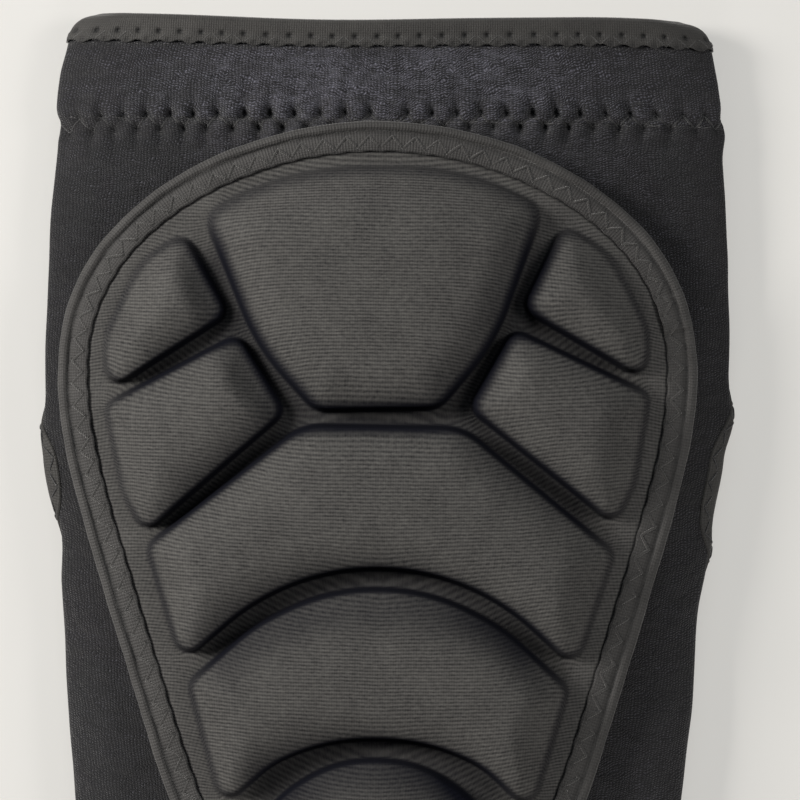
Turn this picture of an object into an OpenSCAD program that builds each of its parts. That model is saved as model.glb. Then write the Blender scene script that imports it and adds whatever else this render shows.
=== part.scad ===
// Pull-on elbow pad: a flattened neoprene sleeve with a moulded foam pad sewn on
// its front face and a bound opening at the crease of the elbow on its back.
// +X is across the sleeve, +Y runs towards the upper arm, +Z is the side the pad is on.

/* [Sleeve] */
// Length of the sleeve from hem to hem
sleeve_len = 220; // [200:1:260]
// Half width of the flat sleeve at the upper hem
top_half_w = 64.5; // [62:0.5:68]
// Half width of the flat sleeve at its widest place, above the elbow
elbow_half_w = 68.5; // [66:0.5:72]
// Half width of the flat sleeve at the lower hem
wrist_half_w = 57; // [54:0.5:60]
// Thickness of the neoprene
neoprene_t = 3; // [2.5:0.1:3]
// Radius of the folded side edge
side_r = 5.5; // [5.5:0.1:6]
// Height of the front face above the table, at the middle
front_z = 16; // [16:0.5:20]
// Radius of the crowned front face
crown_r = 275; // [260:5:400]
// Length of the cuff band at each end, hem included
cuff_len = 21; // [18:0.5:21]

/* [Pad] */
// Middle of the pad along the sleeve
pad_y = 0; // [-2:0.5:2]
// Half length of the pad, over its binding
pad_half_len = 88.5; // [85:0.5:89]
// Lean of the pad's outline on the sleeve, in degrees
pad_lean = 1; // [0:0.1:1.5]
// Lean of the five upper blocks, in degrees
block_lean = 2; // [0:0.1:2.5]
// Thickness of the foam backing sheet
backing_t = 1.8; // [1.5:0.1:2]
// Thickness of the knitted cover
cover_t = 0.7; // [0.5:0.1:0.8]
// Height of the shield block above the backing
shield_h = 9; // [7:0.5:11]
// Height of the side blocks above the backing
side_block_h = 8; // [6:0.5:10]
// Height of the arched blocks above the backing
arch_h = 8.5; // [7:0.5:10]

/* [Binding] */
// Thickness of the binding tape
tape_t = 0.75; // [0.6:0.05:0.8]
// Width of the tape that shows on the hems
hem_tape_w = 6.2; // [5:0.1:8]
// Width of the tape that shows round the pad
pad_tape_w = 6; // [5.5:0.1:6.5]
// Width of the tape round the crease opening
crease_tape_w = 6.5; // [6:0.1:7]
// Length of one zigzag of the stitching
stitch_pitch = 4.75; // [4:0.05:6]
// Width of the stitching thread
thread_w = 0.6; // [0.4:0.05:0.7]

/* [Elbow] */
// Height of the elbow line on the sleeve, above the sleeve's middle
elbow_y = 17.6; // [15:0.2:19]
// Height of the elbow line above the table
elbow_z = 5.5; // [5:0.1:5.5]
// Gap between the two halves at the elbow line
elbow_gap = 0.3; // [0.2:0.1:0.5]
// Half width of the oval that cuts the crease opening
opening_a = 84; // [80:1:88]
// Half height of the oval that cuts the crease opening
opening_b = 27; // [24:0.5:28]
// Width of the strip of tape along each side of the crease opening
side_strip_w = 3.5; // [3:0.1:4]

/* [Hidden] */

neoprene_black = [0.17, 0.17, 0.19];
cuff_black = [0.21, 0.21, 0.24];
tape_olive = [0.20, 0.20, 0.18];
cover_grey = [0.30, 0.29, 0.28];
foam_grey = [0.13, 0.13, 0.14];
thread_grey = [0.27, 0.26, 0.25];
lining_grey = [0.22, 0.22, 0.23];

fit = 0.05;              // gap between faces that lie on each other
pad_lean_y = -30;        // the pad leans about this place on the middle line of the sleeve
pad_stitch_in = 4.1;     // middle of the pad's zigzag, in from the edge
pad_stitch_rise = 1.1;   // half its height
thread_sink = 0.2;       // half the thickness of a thread, sunk into the tape it is sewn to
half_len = sleeve_len / 2;
seam_y = half_len - cuff_len;
core_in = tape_t + fit;  // how far the thinned edge under a tape lies below its face
core_out = neoprene_t - tape_t - fit;
far = 200;               // larger than the object
front_steps = 14;        // straight steps across the crowned front face
arc_steps = 4;           // straight steps in each quarter of the side fold
shoulder_drop = 0.25;    // how far the side fold starts below the front face, which keeps it clear of the pad
back_steps = 4;          // straight steps across the back face

// Heights above the front face of the sleeve
tape_lo = fit;
backing_lo = tape_lo + tape_t + fit;
cover_lo = backing_lo + backing_t + fit;
tape_hi = cover_lo + cover_t + fit + tape_t;

// ---------- curves that several pieces share ----------

function reversed(p) = [for (i = [len(p) - 1:-1:0]) p[i]];

// Half width of the sleeve at y: a smooth curve through its hems, its widest place and its lower third
widths = [[half_len, top_half_w], [45, elbow_half_w], [-30, 62.6], [-half_len, wrist_half_w]];
function half_w(y) = let (n = len(widths)) sum([for (i = [0:n - 1])
    widths[i][1] * product([for (j = [0:n - 1]) i == j ? 1
        : (y - widths[j][0]) / (widths[i][0] - widths[j][0])])]);
function sum(v, i = 0) = i < len(v) ? v[i] + sum(v, i + 1) : 0;
function product(v, i = 0) = i < len(v) ? v[i] * product(v, i + 1) : 1;

// Height of the sleeve's front face at x
function front(x) = front_z - crown_r + sqrt(crown_r * crown_r - x * x);

// One closed loop round the sleeve at y, d below its outer face
function ring(y, d) =
    let (xs = half_w(y) - side_r, top = front(xs) - shoulder_drop - side_r,
         fold = [for (i = [0:2 * arc_steps]) let (a = -90 + 90 * i / arc_steps)
             [xs + (side_r - d) * cos(a), side_r + (a < 0 ? side_r - d : top - d) * sin(a)]],
         crown = [for (i = [1:front_steps - 1]) let (x = xs * (1 - 2 * i / front_steps)) [x, front(x) - d]],
         back = [for (i = [1:back_steps - 1]) [-xs * (1 - 2 * i / back_steps), d]],
         left = [for (i = [2 * arc_steps:-1:0]) [-fold[i][0], fold[i][1]]])
    [for (p = concat(fold, crown, left, back)) [p[0], y, p[1]]];

// The pad's outline is an egg, wider towards the upper arm
egg = [56.2, 26.7, 23.7, -8.1, -15];
function egg_w(s) = egg[0] + egg[1] * s + egg[2] * s * s + egg[3] * pow(s, 3) + egg[4] * pow(s, 4);
egg_outline = leaned([for (a = [0:4:359]) [cos(a) * egg_w(sin(a)), pad_y + pad_half_len * sin(a)]],
    pad_lean, pad_lean_y);
// Turns points anticlockwise about the place [0, y0]; a third value of a point, its radius, stays
function leaned(p, angle, y0) = [for (q = p) concat(
    [q[0] * cos(angle) - (q[1] - y0) * sin(angle), y0 + q[0] * sin(angle) + (q[1] - y0) * cos(angle)],
    len(q) > 2 ? [q[2]] : [])];

// The crease opening is a superellipse that is wider than the sleeve
function signed_pow(v, e) = sign(v) * pow(abs(v), e);
opening_shape = 2 / 2.2;
opening_outline = [for (a = [0:4:359]) [opening_a * signed_pow(cos(a), opening_shape),
    elbow_y + opening_b * signed_pow(sin(a), opening_shape)]];

// Moves each point of a closed outline outwards by d (anticlockwise outlines)
function grown(p, d) = [for (i = [0:len(p) - 1])
    let (t = p[(i + 1) % len(p)] - p[(i + len(p) - 1) % len(p)]) p[i] + d * [t[1], -t[0]] / norm(t)];

// An outline from its corners [x, y, radius], listed anticlockwise, every side moved outwards by g
corner_steps = 4;
function outline(c, g = 0) = [for (i = [0:len(c) - 1])
    let (n = len(c), here = [c[i][0], c[i][1]], r = c[i][2],
         u = here - [c[(i + n - 1) % n][0], c[(i + n - 1) % n][1]],
         v = [c[(i + 1) % n][0], c[(i + 1) % n][1]] - here,
         cross_uv = u[0] * v[1] - u[1] * v[0], turn = atan2(cross_uv, u * v), side = sign(turn),
         start = atan2(u[1], u[0]), middle = start + turn / 2,
         centre = here + side * r / cos(turn / 2) * [-sin(middle), cos(middle)])
    for (k = [0:corner_steps]) let (a = start + turn * k / corner_steps)
        centre + side * (r + side * g) * [sin(a), -cos(a)]];
// The same corners on the other side of the pad, and a full set from those of its right half
function mirrored(c) = [for (i = [len(c) - 1:-1:0]) [-c[i][0], c[i][1], c[i][2]]];
function both_sides(c) = concat(c, mirrored(c));

// ---------- corners of the foam blocks: [x, y, radius] ----------

shield = leaned(both_sides([[12.5, 30.8, 6], [24, 44, 45], [34.3, 71, 4.5], [17, 79.8, 55]]), block_lean, 0);
upper_side = [[28.4, 50.6, 3.5], [54.2, 35, 3.5], [55, 46, 14], [47.3, 61.5, 14], [37.6, 68, 3.5]];
lower_side = [[17.6, 31, 3.5], [47.1, 6.6, 3.5], [51.6, 15.5, 12], [55, 33.4, 3.5], [27, 47.4, 3.5]];
right_upper_side = leaned(upper_side, block_lean, 0);
left_upper_side = leaned(mirrored(upper_side), block_lean, 0);
right_lower_side = leaned(lower_side, block_lean, 0);
left_lower_side = leaned(mirrored(lower_side), block_lean, 0);
large_arch = both_sides([[10, -0.8, 45], [25, -7.7, 45], [39.5, -20.4, 3.5], [47.2, 3.5, 3.5],
    [16, 28.4, 12]]);
small_arch = both_sides([[9, -34.6, 40], [20.5, -39.5, 20], [31, -49.3, 3.5], [38.4, -23.6, 3.5],
    [24.5, -11.2, 40], [9.5, -3.9, 40]]);
tip = both_sides([[8, -77.5, 24], [18.2, -71, 16], [27, -54.5, 4], [18.5, -44.5, 25], [8, -37.8, 25]]);

// ---------- building modules ----------

// A solid whose section, a clockwise loop of [y, depth] points, is carried round the sleeve
module wrap(section) {
    loops = [for (s = section) ring(s[0], s[1])];
    m = len(loops);
    n = len(loops[0]);
    polyhedron(points = [for (l = loops) each l], faces = [for (i = [0:m - 1], j = [0:n - 1])
        let (a = i * n + j, b = i * n + (j + 1) % n,
             c = (i + 1) % m * n + (j + 1) % n, d = (i + 1) % m * n + j)
        each [[a, b, c], [a, c, d]]], convexity = 6);
}

// The part of a section that runs along the sleeve at one depth, in n steps
function run(y0, y1, d, n = 6) = [for (i = [0:n]) [y0 + (y1 - y0) * i / n, d]];

// The space between two heights above the front face
module above_front(lo, hi) {
    translate([0, -far / 2, front_z - crown_r]) rotate([-90, 0, 0]) difference() {
        cylinder(h = far, r = crown_r + hi, $fn = 360);
        translate([0, 0, -1]) cylinder(h = far + 2, r = crown_r + lo, $fn = 360);
    }
}

// A sheet of the given outline that lies on the front face
module sheet(outline, lo, hi) {
    intersection() {
        linear_extrude(height = front_z * 3) polygon(outline);
        above_front(lo, hi);
    }
}

// A foam block with sloping sides and a rounded top edge, grown by g on every side but its base
block_profile = [[0, -0.1], [0.5, 0.45], [1.3, 0.78], [3.2, 1.12]];  // [inset, share of the height]
module block(corners, h, g = 0) {
    flat_loop = [for (p = outline(corners, g)) [p[0], p[1], 0]];
    sloping_loops = [for (s = block_profile) [for (p = outline(corners, g - s[0]))
        [p[0], p[1], front(p[0]) + cover_lo + s[1] * (h + g)]]];
    top_loop = [for (p = outline(corners, g - 3.35)) [p[0], p[1], front_z * 3]];
    loops = concat([flat_loop], sloping_loops, [top_loop]);
    m = len(loops);
    n = len(flat_loop);
    walls = [for (i = [0:m - 2], j = [0:n - 1]) let (a = i * n + j, b = i * n + (j + 1) % n)
        each [[a, a + n, b], [b, a + n, b + n]]];
    ends = [[for (j = [0:n - 1]) j], [for (j = [n - 1:-1:0]) (m - 1) * n + j]];
    intersection() {
        polyhedron(points = [for (l = loops) each l], faces = concat(ends, walls), convexity = 6);
        above_front(cover_lo, cover_lo + h + g);
    }
}

// The halves of the object on each side of the elbow line
module upper_half() {
    intersection() {
        children();
        translate([-far / 2, elbow_y + elbow_gap / 2, -far / 2]) cube([far, far, far]);
    }
}
module lower_half() {
    intersection() {
        children();
        translate([-far / 2, elbow_y - elbow_gap / 2 - far, -far / 2]) cube([far, far, far]);
    }
}

// The space of the crease opening, grown by g: through the back up to the elbow line
module opening(g = 0) {
    translate([0, 0, -1]) linear_extrude(height = elbow_z + 1) polygon(grown(opening_outline, g));
}
// The side strips over the opening, where the tape folds onto the front face
module side_strips(g) {
    intersection() {
        translate([0, 0, elbow_z - 1]) linear_extrude(height = front_z) polygon(grown(opening_outline, g));
        for (s = [-1, 1]) translate([s * (elbow_half_w + 6 - side_strip_w) - 6, elbow_y - far / 2, 0])
            cube([12, far, far]);
    }
}

// A flat ribbon of thread along a path: each place is [point, sideways, outwards]
module ribbon(path, closed = true) {
    n = len(path);
    corners = [for (q = path)
        each [q[0] - q[1] - q[2], q[0] + q[1] - q[2], q[0] + q[1] + q[2], q[0] - q[1] + q[2]]];
    walls = [for (i = [0:(closed ? n : n - 1) - 1], k = [0:3])
        let (a = 4 * i + k, b = 4 * i + (k + 1) % 4, e = 4 * ((i + 1) % n))
        each [[a, e + k, e + (k + 1) % 4], [a, e + (k + 1) % 4, b]]];
    ends = closed ? [] : [[0, 1, 2, 3], [for (k = [3:-1:0]) 4 * (n - 1) + k]];
    polyhedron(points = corners, faces = concat(ends, walls), convexity = 10);
}
// Half width of a ribbon, measured across the zigzag, for a zigzag of this rise
function across(rise) = thread_w / 2 * norm([rise, stitch_pitch / 2]) / (stitch_pitch / 2);

// Length along a closed loop of points at each of its corners
function lengths(p, i = 0, s = 0) = i > len(p) ? []
    : concat([s], lengths(p, i + 1, s + norm(p[(i + 1) % len(p)] - p[i % len(p)])));

// Zigzag places round the sleeve, between y0 and y1, half sunk into the outer face
function ring_zigzag(y0, y1, count) =
    let (outer = [ring(y0, 0), ring(y1, 0)], inner = [ring(y0, 1), ring(y1, 1)], n = len(outer[0]),
         tables = [for (l = outer) let (s = lengths(l)) [for (i = [0:n]) [s[i] / s[n], i]]])
    [for (k = [0:2 * count - 1])
        let (e = k % 2, f = lookup(k / (2 * count), tables[e]), i = floor(f), j = (i + 1) % n, u = f - i,
             p = outer[e][i % n] * (1 - u) + outer[e][j] * u, q = inner[e][i % n] * (1 - u) + inner[e][j] * u)
        [p, [0, -across(abs(y1 - y0)), 0], (p - q) / norm(p - q) * thread_sink]];
module ring_thread(y0, y1) {
    count = round(4.05 * half_w(y0) / stitch_pitch);
    color(thread_grey) intersection() {
        ribbon(ring_zigzag(y0, y1, count));
        translate([-far / 2, -far, 0]) cube([far, 2 * far, far]);
    }
}

// ---------- sleeve ----------

module hem_binding(s) {
    y = s * half_len;
    edge = s * (half_len - tape_t);
    inside = s * (half_len - hem_tape_w);
    section = [[y, 0], [y, neoprene_t], [inside, neoprene_t], [inside, neoprene_t - tape_t],
        [edge, neoprene_t - tape_t], [edge, tape_t], [inside, tape_t], [inside, 0]];
    color(tape_olive) wrap(s > 0 ? section : reversed(section));
}
module hem_thread(s) {
    ring_thread(s * (half_len - hem_tape_w + 0.5), s * (half_len - hem_tape_w + 3.2));
}
module cuff_band(s) {
    inside = s * (half_len - hem_tape_w - fit);
    edge = s * (half_len - tape_t - fit);
    seam = s * (seam_y + fit);
    section = concat(run(seam, inside, 0, 2),
        [[inside, core_in], [edge, core_in], [edge, core_out], [inside, core_out]],
        run(inside, seam, neoprene_t, 2));
    color(cuff_black) wrap(s > 0 ? section : reversed(section));
}
module cuff_seam_thread(s) {
    ring_thread(s * (seam_y - 1.3), s * (seam_y + 1.3));
}

// The whole neoprene panel between the two cuff seams, cut back and thinned under the crease tape
module sleeve_panel() {
    difference() {
        wrap(concat(run(-seam_y, seam_y, 0, 12), run(seam_y, -seam_y, neoprene_t, 12)));
        opening(crease_tape_w + fit);
        side_strips(crease_tape_w + fit);
    }
    difference() {
        intersection() {
            translate([fit + side_r - elbow_half_w, -far / 2, core_in])
                cube([2 * (elbow_half_w - side_r - fit), far, core_out - core_in]);
            opening(crease_tape_w + 2 * fit);
        }
        opening(tape_t + fit);
    }
}
module upper_sleeve_panel() { color(neoprene_black) upper_half() sleeve_panel(); }
module lower_sleeve_panel() { color(neoprene_black) lower_half() sleeve_panel(); }

// Tape folded round the edge of the crease opening, and along each side over it
module crease_binding() {
    difference() {
        intersection() {
            wrap(concat(run(-seam_y, seam_y, 0, 12), run(seam_y, -seam_y, neoprene_t, 12)));
            union() {
                opening(crease_tape_w);
                side_strips(crease_tape_w);
            }
        }
        opening();
        translate([side_r - elbow_half_w, -far / 2, tape_t])
            cube([2 * (elbow_half_w - side_r), far, neoprene_t - 2 * tape_t]);
    }
    difference() {
        intersection() {
            translate([side_r - elbow_half_w, -far / 2, tape_t / 2])
                cube([2 * (elbow_half_w - side_r), far, neoprene_t - tape_t]);
            opening(tape_t);
        }
        opening();
    }
}
module upper_crease_binding() { color(tape_olive) upper_half() crease_binding(); }
module lower_crease_binding() { color(tape_olive) lower_half() crease_binding(); }

// Zigzag in the back face, along the crease tape
function opening_y(x, g) = elbow_y + g
    + opening_b * pow(1 - pow(abs(x) / opening_a, 2 / opening_shape), opening_shape / 2);
module crease_thread(s) {
    reach = elbow_half_w - side_r - 1;
    count = round(2 * reach / stitch_pitch);
    places = [for (k = [0:2 * count])
        let (x = reach * (k / count - 1), g = crease_tape_w - (k % 2 == 0 ? 0.8 : 3))
            [[x, elbow_y + s * (opening_y(x, g) - elbow_y), thread_sink],
                [0, across(2.2), 0], [0, 0, thread_sink]]];
    color(thread_grey) ribbon(places, closed = false);
}

// Zigzag of the flat seam that closes the panel, down the middle of the back
module back_seam_thread(s) {
    y0 = elbow_y + s * (opening_b + crease_tape_w + 1);
    y1 = s * (seam_y - 2.4);
    count = round(abs(y1 - y0) / stitch_pitch);
    places = [for (k = [0:2 * count])
        [[k % 2 == 0 ? -1.4 : 1.4, y0 + (y1 - y0) * k / count / 2, thread_sink], [-s * across(2.8), 0, 0],
            [0, 0, thread_sink]]];
    color(thread_grey) ribbon(places, closed = false);
}

// ---------- pad ----------

module pad_backing() { sheet(grown(egg_outline, -tape_t - 0.5), backing_lo, backing_lo + backing_t); }
module pad_lining() { sheet(grown(egg_outline, -pad_tape_w - fit), fit, fit + tape_t); }
module pad_binding() {
    difference() {
        sheet(egg_outline, tape_lo, tape_hi);
        sheet(grown(egg_outline, -pad_tape_w), tape_lo - 1, tape_hi + 1);
        sheet(grown(egg_outline, -tape_t - 0.4), tape_lo + tape_t, tape_hi - tape_t);
    }
}
module pad_thread() {
    path = grown(egg_outline, -pad_stitch_in);
    s = lengths(path);
    n = len(path);
    table = [for (i = [0:n]) [s[i], i]];
    count = round(s[n] / stitch_pitch);
    places = [for (k = [0:2 * count - 1])
        let (f = lookup(k * s[n] / count / 2, table), i = floor(f), a = path[i % n], b = path[(i + 1) % n],
             t = (b - a) / norm(b - a), inwards = [-t[1], t[0]],
             p = a + (f - i) * (b - a) + (k % 2 == 0 ? -1 : 1) * pad_stitch_rise * inwards)
        [[p[0], p[1], front(p[0]) + tape_hi], [inwards[0], inwards[1], 0] * across(2 * pad_stitch_rise),
            [0, 0, thread_sink]]];
    color(thread_grey) ribbon(places);
}

module side_blocks(g) {
    for (corners = [left_upper_side, right_upper_side, left_lower_side, right_lower_side])
        block(corners, side_block_h, g);
}
module upper_blocks(g) {
    block(shield, shield_h, g);
    side_blocks(g);
}
module lower_blocks(g) {
    for (corners = [large_arch, small_arch, tip]) block(corners, arch_h, g);
}
module cover_sheet() { sheet(grown(egg_outline, -tape_t - 0.5), cover_lo, cover_lo + cover_t); }

// The knitted cover of each half: a flat sheet with a shell over each block
module pad_cover_upper() {
    color(cover_grey) difference() {
        union() {
            upper_half() cover_sheet();
            upper_blocks(cover_t);
        }
        upper_blocks(fit);
        block(large_arch, arch_h, cover_t + elbow_gap);
    }
}
module pad_cover_lower() {
    color(cover_grey) difference() {
        union() {
            lower_half() cover_sheet();
            lower_blocks(cover_t);
        }
        lower_blocks(fit);
        side_blocks(cover_t + elbow_gap);
    }
}

// ---------- one line for each node ----------

hem_binding(1);  // upper_hem_binding
hem_thread(1);  // upper_hem_thread
cuff_band(1);  // upper_cuff_band
cuff_seam_thread(1);  // upper_cuff_seam_thread
upper_sleeve_panel();
back_seam_thread(1);  // upper_back_seam_thread
upper_crease_binding();
crease_thread(1);  // upper_crease_thread
color(foam_grey) block(shield, shield_h);  // shield_block
color(foam_grey) block(left_upper_side, side_block_h);  // left_upper_side_block
color(foam_grey) block(right_upper_side, side_block_h);  // right_upper_side_block
color(foam_grey) block(left_lower_side, side_block_h);  // left_lower_side_block
color(foam_grey) block(right_lower_side, side_block_h);  // right_lower_side_block
color(foam_grey) upper_half() pad_backing();  // pad_backing_upper
color(lining_grey) upper_half() pad_lining();  // pad_lining_upper
pad_cover_upper();
color(tape_olive) upper_half() pad_binding();  // pad_binding_upper
upper_half() pad_thread();  // pad_thread_upper
color(foam_grey) block(large_arch, arch_h);  // large_arch_block
color(foam_grey) block(small_arch, arch_h);  // small_arch_block
color(foam_grey) block(tip, arch_h);  // tip_block
color(foam_grey) lower_half() pad_backing();  // pad_backing_lower
color(lining_grey) lower_half() pad_lining();  // pad_lining_lower
pad_cover_lower();
color(tape_olive) lower_half() pad_binding();  // pad_binding_lower
lower_half() pad_thread();  // pad_thread_lower
lower_sleeve_panel();
back_seam_thread(-1);  // lower_back_seam_thread
lower_crease_binding();
crease_thread(-1);  // lower_crease_thread
cuff_band(-1);  // lower_cuff_band
cuff_seam_thread(-1);  // lower_cuff_seam_thread
hem_binding(-1);  // lower_hem_binding
hem_thread(-1);  // lower_hem_thread
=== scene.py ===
"""Visual model of the pull-on elbow pad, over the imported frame.

Lengths are in millimetres, and make() turns them into metres. +X is across the sleeve, +Y runs towards
the upper arm, and +Z is the side that the pad is on.
"""
import math

import bpy
import numpy as np
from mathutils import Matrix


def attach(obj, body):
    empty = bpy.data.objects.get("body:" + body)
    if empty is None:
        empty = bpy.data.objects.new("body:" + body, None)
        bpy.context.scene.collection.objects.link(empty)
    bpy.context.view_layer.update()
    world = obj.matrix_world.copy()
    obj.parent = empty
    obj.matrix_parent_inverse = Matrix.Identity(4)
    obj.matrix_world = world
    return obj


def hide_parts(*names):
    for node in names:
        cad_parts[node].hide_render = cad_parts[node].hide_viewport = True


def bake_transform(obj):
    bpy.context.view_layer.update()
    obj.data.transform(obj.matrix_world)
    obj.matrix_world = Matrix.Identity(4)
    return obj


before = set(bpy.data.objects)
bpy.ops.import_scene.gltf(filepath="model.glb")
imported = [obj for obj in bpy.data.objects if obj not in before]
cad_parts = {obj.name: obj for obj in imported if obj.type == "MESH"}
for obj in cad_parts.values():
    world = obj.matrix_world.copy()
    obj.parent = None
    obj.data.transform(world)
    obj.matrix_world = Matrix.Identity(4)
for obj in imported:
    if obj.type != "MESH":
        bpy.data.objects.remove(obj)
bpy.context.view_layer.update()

MM = 0.001
TAU = 2 * math.pi

# ------ sizes, as in the CAD model
HALF_LEN = 110.0  # hem to the middle of the sleeve
SEAM_Y = 89.0  # seam of the cuff bands
WIDTH_KNOTS = [(110.0, 64.5), (45.0, 68.5), (-30.0, 62.6), (-110.0, 57.0)]  # place along, half width
NEOPRENE = 3.0  # thickness of the sleeve
SIDE_R = 5.5  # folded side, lower quarter; also the height of the fold line
FOLD = 10.0  # how far the upper part of the fold reaches in from the side
FRONT_Z = 16.0  # height of the front face at the middle
CROWN_R = 275.0  # radius of the crowned front face
PAD_LEN = 88.5  # half length of the pad
EGG = (56.2, 26.7, 23.7, -8.1, -15.0)  # terms of the pad's half width, see egg_w
PAD_LEAN = 1.0  # degrees, about the middle of the sleeve at LEAN_Y
LEAN_Y = -30.0
BLOCK_LEAN = 2.0  # degrees, of the five upper blocks, about the middle of the pad
PAD_TAPE = 6.0  # width of the tape round the pad
ELBOW_Y = 17.6  # the line that the sleeve bends about
OPENING_B = 27.0  # half height of the crease opening
PITCH = 4.75  # one zigzag
SHEET_Z = 3.4  # top of the flat part of the cover, above the front face
BACK_Z = 2.65  # top of the foam backing
FOAM_Z = BACK_Z + 0.05  # foot of the foam blocks
COVER = 0.75  # thickness of the cover over the blocks


# ------ small helpers
def wobble(u, seed=0.0):
    """A smooth, repeatable, irregular curve in about -1..1."""
    faster = 0.6 * np.sin(2.17 * u + 1.3 + 2.1 * seed)
    fastest = 0.4 * np.sin(4.39 * u + 0.7 + 3.7 * seed)
    return (np.sin(u + seed) + faster + fastest) / 2


def bump(d, r):
    """1 at d = 0, falling to 0 within a few r."""
    return np.exp(-(d / r) ** 2)


def ease(t):
    """A smooth step: 0 up to t = 0, 1 from t = 1 on."""
    t = np.clip(t, 0, 1)
    return t * t * (3 - 2 * t)


def zigzag(u):
    """1 at the even whole numbers, 0 at the odd ones, and straight between."""
    return np.abs(u % 2 - 1)


def from_whole(u):
    """How far u is from a whole number."""
    return np.abs(u - np.round(u))


def at_least(least, share):
    """A share of 0..1, squeezed into least..1."""
    return least + (1 - least) * share


def half_w(y):
    """Nominal half width of the flat sleeve: a smooth curve through WIDTH_KNOTS."""
    total = 0.0
    for i, (yi, wi) in enumerate(WIDTH_KNOTS):
        term = wi
        for j, (yj, _) in enumerate(WIDTH_KNOTS):
            if i != j:
                term = term * (y - yj) / (yi - yj)
        total = total + term
    return total


# How far each soft side lies outside (+) or inside (-) its nominal width, at places along the sleeve.
LIE_LEFT = [(110, -0.6), (105, -1.0), (97, -0.3), (91, -0.2), (85, -1.5), (62, -1.0), (33, 0), (27, 0.6),
            (20, 0.1), (4, -1.8), (-5, -1.0), (-30, -0.2), (-110, 0)]
LIE_RIGHT = [(110, 0), (105, -0.4), (97, 0.1), (89, 0.6), (82, -0.3), (60, 0.5), (40, 1.3), (31, 2.0),
             (22, 0.5), (9, -0.6), (3, 0), (-8, -0.8), (-30, 0.2), (-45, 0.4), (-110, 0)]


def along_knots(y, knots):
    """A smooth curve with level places at its knots."""
    total = np.full(np.shape(y), float(knots[0][1]))
    for (y0, v0), (y1, v1) in zip(knots, knots[1:]):
        total = total + (v1 - v0) * ease((y0 - y) / (y0 - y1))
    return total


def side_reach(y, side):
    """Half width of the sleeve at y, as its soft left or right side lies."""
    return half_w(y) + np.where(side < 0, along_knots(y, LIE_LEFT), along_knots(y, LIE_RIGHT))


def leaned(p, angle, y0=0.0):
    """Points (x, y, ...) turned anticlockwise about (0, y0)."""
    c, s = math.cos(math.radians(angle)), math.sin(math.radians(angle))
    p = np.array(p, float)
    x, y = p[..., 0].copy(), p[..., 1] - y0
    p[..., 0] = x * c - y * s
    p[..., 1] = y0 + x * s + y * c
    return p


def crown(x):
    """Height of the front face over the table."""
    return FRONT_Z - CROWN_R + np.sqrt(CROWN_R ** 2 - x ** 2)


def egg_w(s):
    """The pad's half width over the cosine of the angle round it; s is the angle's sine."""
    return sum(term * s ** power for power, term in enumerate(EGG))


# ------ the sleeve as a rolled-up sheet
# A place on the sleeve is (a, y, d): a runs round it from the middle of the back, y along it,
# and d is the depth below the outer face.
SIDE_X = half_w(ELBOW_Y) - SIDE_R
SIDE_A = SIDE_X + SIDE_R * math.pi / 2
CROWN_A = SIDE_X + SIDE_R - FOLD
FOLD_ANGLES = np.linspace(math.pi / 2, 0, 60)
fold_x = CROWN_A + FOLD * np.sin(FOLD_ANGLES)
fold_z = SIDE_R + (crown(fold_x) - SIDE_R) * np.cos(FOLD_ANGLES)
FOLD_LENGTHS = np.concatenate([[0], np.cumsum(np.hypot(np.diff(fold_x), np.diff(fold_z)))])
FOLD_A = FOLD_LENGTHS[-1]
RING_A = SIDE_A + FOLD_A + CROWN_A  # half of the way round


def sleeve(a, y, d=0.0):
    """Point of the sleeve at (a, y, d): flat back, lower and upper quarter of the folded side, front."""
    a, y, d = np.broadcast_arrays(np.asarray(a, float), np.asarray(y, float), np.asarray(d, float))
    side = np.sign(a)
    m = np.abs(a)
    w = side_reach(y, side)
    low = (m - SIDE_X) / SIDE_R
    low_x = w - SIDE_R + (SIDE_R - d) * np.sin(low)
    up = np.interp(m - SIDE_A, FOLD_LENGTHS, FOLD_ANGLES)
    up_x = w - FOLD + (FOLD - d) * np.sin(up)
    front_x = (w - FOLD) * (RING_A - m) / CROWN_A
    stretches = [m <= SIDE_X, m <= SIDE_A, m <= SIDE_A + FOLD_A]
    x = np.select(stretches, [m * (w - SIDE_R) / SIDE_X, low_x, up_x], front_x)
    low_z = SIDE_R - (SIDE_R - d) * np.cos(low)
    up_z = SIDE_R + (crown(up_x) - d - SIDE_R) * np.cos(up)
    z = np.select(stretches, [d, low_z, up_z], crown(front_x) - d)
    return np.stack([x * side, y, z], -1)


# ------ meshes
def make(name, points, faces, cloth, pits_and_painted_shade=None):
    """A mesh object from points in millimetres.

    cloth holds each point's place on the flat cloth, and the last argument how far painted shade darkens it:
    shade painted into stitch holes, grooves, over steep walls and beside grooves, and along the feet of
    steps.
    """
    mesh = bpy.data.meshes.new(name)
    vertices = np.reshape(points, (-1, 3)) * MM
    mesh.from_pydata(vertices.tolist(), [], [tuple(int(i) for i in f) for f in faces])
    mesh.validate()
    mesh.update()
    mesh.polygons.foreach_set("use_smooth", [True] * len(mesh.polygons))
    layer = mesh.attributes.new("cloth", "FLOAT_VECTOR", "POINT")
    layer.data.foreach_set("vector", np.asarray(cloth, np.float32).ravel())
    if pits_and_painted_shade is not None:
        layer = mesh.attributes.new("pits_and_painted_shade", "FLOAT", "POINT")
        layer.data.foreach_set("value", np.asarray(pits_and_painted_shade, np.float32).ravel())
    obj = bpy.data.objects.new(name, mesh)
    bpy.context.scene.collection.objects.link(obj)
    return obj


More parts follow.
